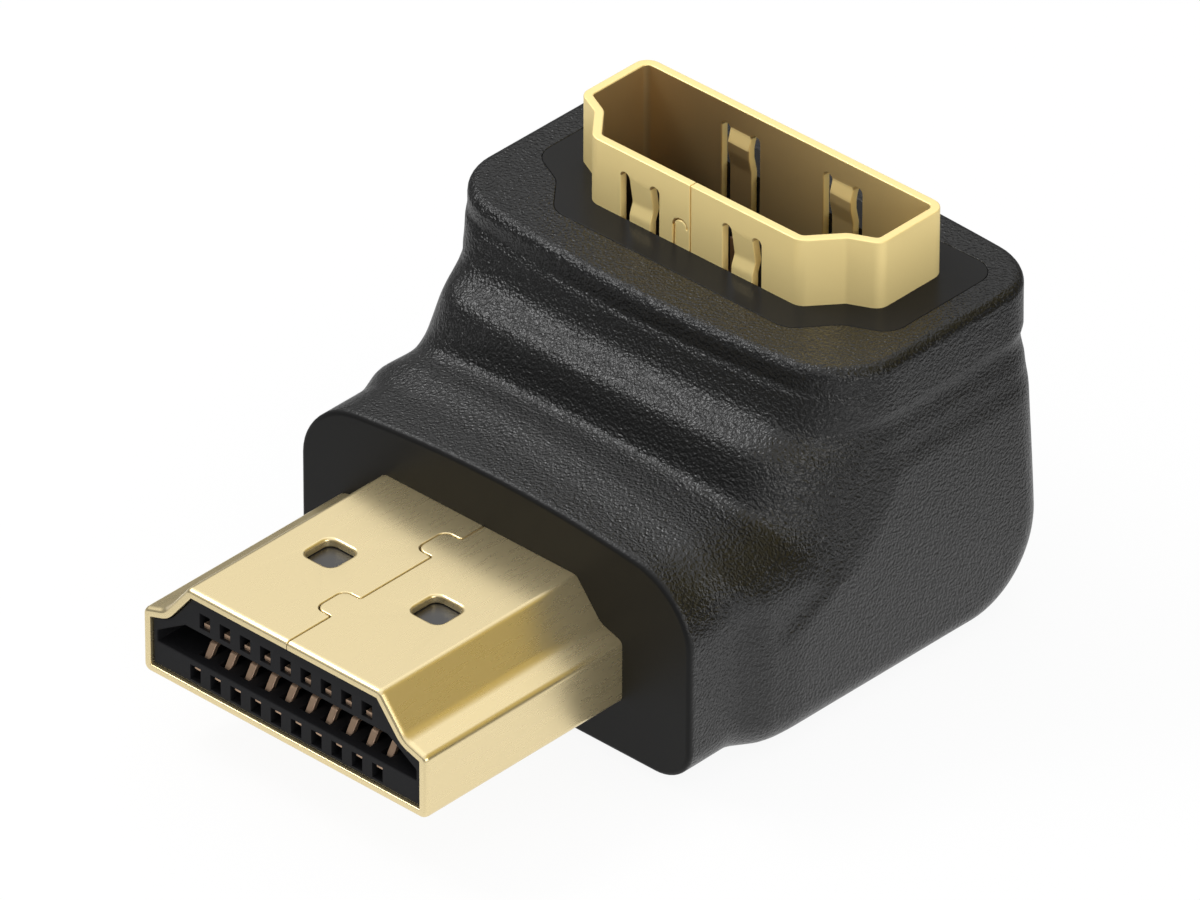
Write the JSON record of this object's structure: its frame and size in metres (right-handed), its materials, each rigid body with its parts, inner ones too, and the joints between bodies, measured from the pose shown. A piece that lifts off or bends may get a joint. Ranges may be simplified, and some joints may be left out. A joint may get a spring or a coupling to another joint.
{
  "type": "right-angle digital video adapter",
  "caption": "L-shaped adapter: a flat gold-plated video plug leaves the front of a grained black moulding, and the matching gold-plated socket opens at the top.",
  "frame": {"origin": "middle of the bounding box, on the floor under the elbow", "axes": "+X across the plug and the socket, -Y the way the plug points, +Z the way the socket opens"},
  "size_m": [0.0204, 0.0292, 0.0169],
  "materials": {
    "overmould": "soft black moulding with a fine leather grain",
    "socket_face": "smooth glossy black",
    "board": "green lacquered board",
    "plug_gold": "satin gold plating",
    "socket_gold": "satin gold plating",
    "plug_plastic": "dark grey moulded plastic",
    "socket_plastic": "black moulded plastic",
    "contact_gold": "gold-plated copper alloy"
  },
  "bodies": {
    "root": {"overmould": "overmould", "inner_mould": "socket_face", "circuit_board": "board", "plug_shell": "plug_gold", "plug_insulator": "plug_plastic", "receptacle_shell": "socket_gold", "receptacle_insulator": "socket_plastic", "plug_contact_01": "contact_gold", "plug_contact_02": "contact_gold", "plug_contact_03": "contact_gold", "plug_contact_04": "contact_gold", "plug_contact_05": "contact_gold", "plug_contact_06": "contact_gold", "plug_contact_07": "contact_gold", "plug_contact_08": "contact_gold", "plug_contact_09": "contact_gold", "plug_contact_10": "contact_gold", "plug_contact_11": "contact_gold", "plug_contact_12": "contact_gold", "plug_contact_13": "contact_gold", "plug_contact_14": "contact_gold", "plug_contact_15": "contact_gold", "plug_contact_16": "contact_gold", "plug_contact_17": "contact_gold", "plug_contact_18": "contact_gold", "plug_contact_19": "contact_gold", "receptacle_contact_01": "contact_gold", "receptacle_contact_02": "contact_gold", "receptacle_contact_03": "contact_gold", "receptacle_contact_04": "contact_gold", "receptacle_contact_05": "contact_gold", "receptacle_contact_06": "contact_gold", "receptacle_contact_07": "contact_gold", "receptacle_contact_08": "contact_gold", "receptacle_contact_09": "contact_gold", "receptacle_contact_10": "contact_gold", "receptacle_contact_11": "contact_gold", "receptacle_contact_12": "contact_gold", "receptacle_contact_13": "contact_gold", "receptacle_contact_14": "contact_gold", "receptacle_contact_15": "contact_gold", "receptacle_contact_16": "contact_gold", "receptacle_contact_17": "contact_gold", "receptacle_contact_18": "contact_gold", "receptacle_contact_19": "contact_gold"}
  },
  "joints": []
}
